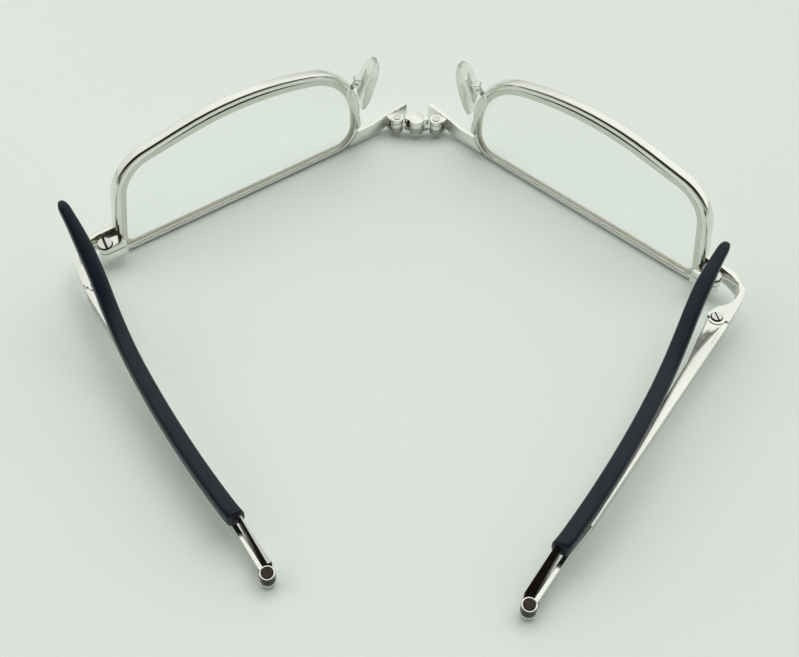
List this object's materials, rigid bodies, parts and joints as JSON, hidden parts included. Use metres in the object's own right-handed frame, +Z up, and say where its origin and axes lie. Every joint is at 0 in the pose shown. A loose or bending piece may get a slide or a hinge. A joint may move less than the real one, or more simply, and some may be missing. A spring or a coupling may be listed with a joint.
{
  "type": "folding reading glasses",
  "caption": "Folding reading glasses with a hinged bridge, hinged temples that fold again at mid-length, and dark sleeves on the ear ends.",
  "frame": {"origin": "middle of the resting glasses' bounding box in X and Y, on the surface they rest on", "axes": "+X towards the right half as seen from the wearer's side, +Y away from the wearer, towards the bridge, +Z up, from the brow edge that the glasses rest on towards the lens bottoms"},
  "size_m": [0.1126, 0.1037, 0.0238],
  "materials": {
    "frame_silver": "polished",
    "screw_steel": "turned",
    "lens_clear": "clear polished",
    "pad_clear": "clear soft plastic",
    "sleeve_navy": "satin gloss"
  },
  "bodies": {
    "bridge": {"bridge_link": "frame_silver", "bridge_pin_left": "screw_steel", "bridge_pin_right": "screw_steel"},
    "front_left": {"rim_left": "frame_silver", "lens_left": "lens_clear", "bridge_arm_left": "frame_silver", "pad_arm_left": "frame_silver", "pad_screw_left": "screw_steel", "end_piece_left": "frame_silver", "rim_lock_left": "frame_silver", "rim_lock_screw_left": "screw_steel", "temple_screw_left": "screw_steel"},
    "pad_left": {"nose_pad_left": "pad_clear", "pad_core_left": "frame_silver"},
    "temple_left": {"temple_front_left": "frame_silver", "mid_hinge_pin_left": "screw_steel"},
    "rear_left": {"temple_rear_left": "frame_silver", "temple_sleeve_left": "sleeve_navy"},
    "front_right": {"rim_right": "frame_silver", "lens_right": "lens_clear", "bridge_arm_right": "frame_silver", "pad_arm_right": "frame_silver", "pad_screw_right": "screw_steel", "end_piece_right": "frame_silver", "rim_lock_right": "frame_silver", "rim_lock_screw_right": "screw_steel", "temple_screw_right": "screw_steel"},
    "pad_right": {"nose_pad_right": "pad_clear", "pad_core_right": "frame_silver"},
    "temple_right": {"temple_front_right": "frame_silver", "mid_hinge_pin_right": "screw_steel"},
    "rear_right": {"temple_rear_right": "frame_silver", "temple_sleeve_right": "sleeve_navy"}
  },
  "joints": [
    {"name": "bridge_hinge_left", "type": "hinge", "parent": "bridge", "child": "front_left", "pos_m": [-0.00375, 0.04735, 0.00275], "axis": [0, 0, 1], "range_deg": [-39, 0]},
    {"name": "temple_hinge_left", "type": "hinge", "parent": "front_left", "child": "temple_left", "pos_m": [-0.05077, 0.00007, 0.00455], "axis": [0, 0, 1], "range_deg": [0, 91]},
    {"name": "mid_hinge_left", "type": "hinge", "parent": "temple_left", "child": "rear_left", "pos_m": [-0.01647, -0.04818, 0.0016], "axis": [0.0291, -0.0404, 0.9988], "range_deg": [-178.21, 0]},
    {"name": "pad_rock_left", "type": "hinge", "parent": "front_left", "child": "pad_left", "pos_m": [-0.01073, 0.03909, 0.01877], "axis": [0.1484, -0.9762, -0.1582], "range_deg": [-8, 8]},
    {"name": "bridge_hinge_right", "type": "hinge", "parent": "bridge", "child": "front_right", "pos_m": [0.00375, 0.04735, 0.00275], "axis": [0, 0, -1], "range_deg": [-39, 0]},
    {"name": "temple_hinge_right", "type": "hinge", "parent": "front_right", "child": "temple_right", "pos_m": [0.05077, 0.00007, 0.00455], "axis": [0, 0, -1], "range_deg": [0, 95]},
    {"name": "mid_hinge_right", "type": "hinge", "parent": "temple_right", "child": "rear_right", "pos_m": [0.01991, -0.05046, 0.0016], "axis": [0.0263, 0.0424, -0.9988], "range_deg": [-174.51, 0]},
    {"name": "pad_rock_right", "type": "hinge", "parent": "front_right", "child": "pad_right", "pos_m": [0.01073, 0.03909, 0.01877], "axis": [0.1484, 0.9762, 0.1582], "range_deg": [-8, 8]}
  ],
  "couplings": [
    {"joint": "mid_hinge_left", "follows": "bridge_hinge_left", "ratio": 4.5692},
    {"joint": "mid_hinge_right", "follows": "bridge_hinge_right", "ratio": 4.4744}
  ]
}
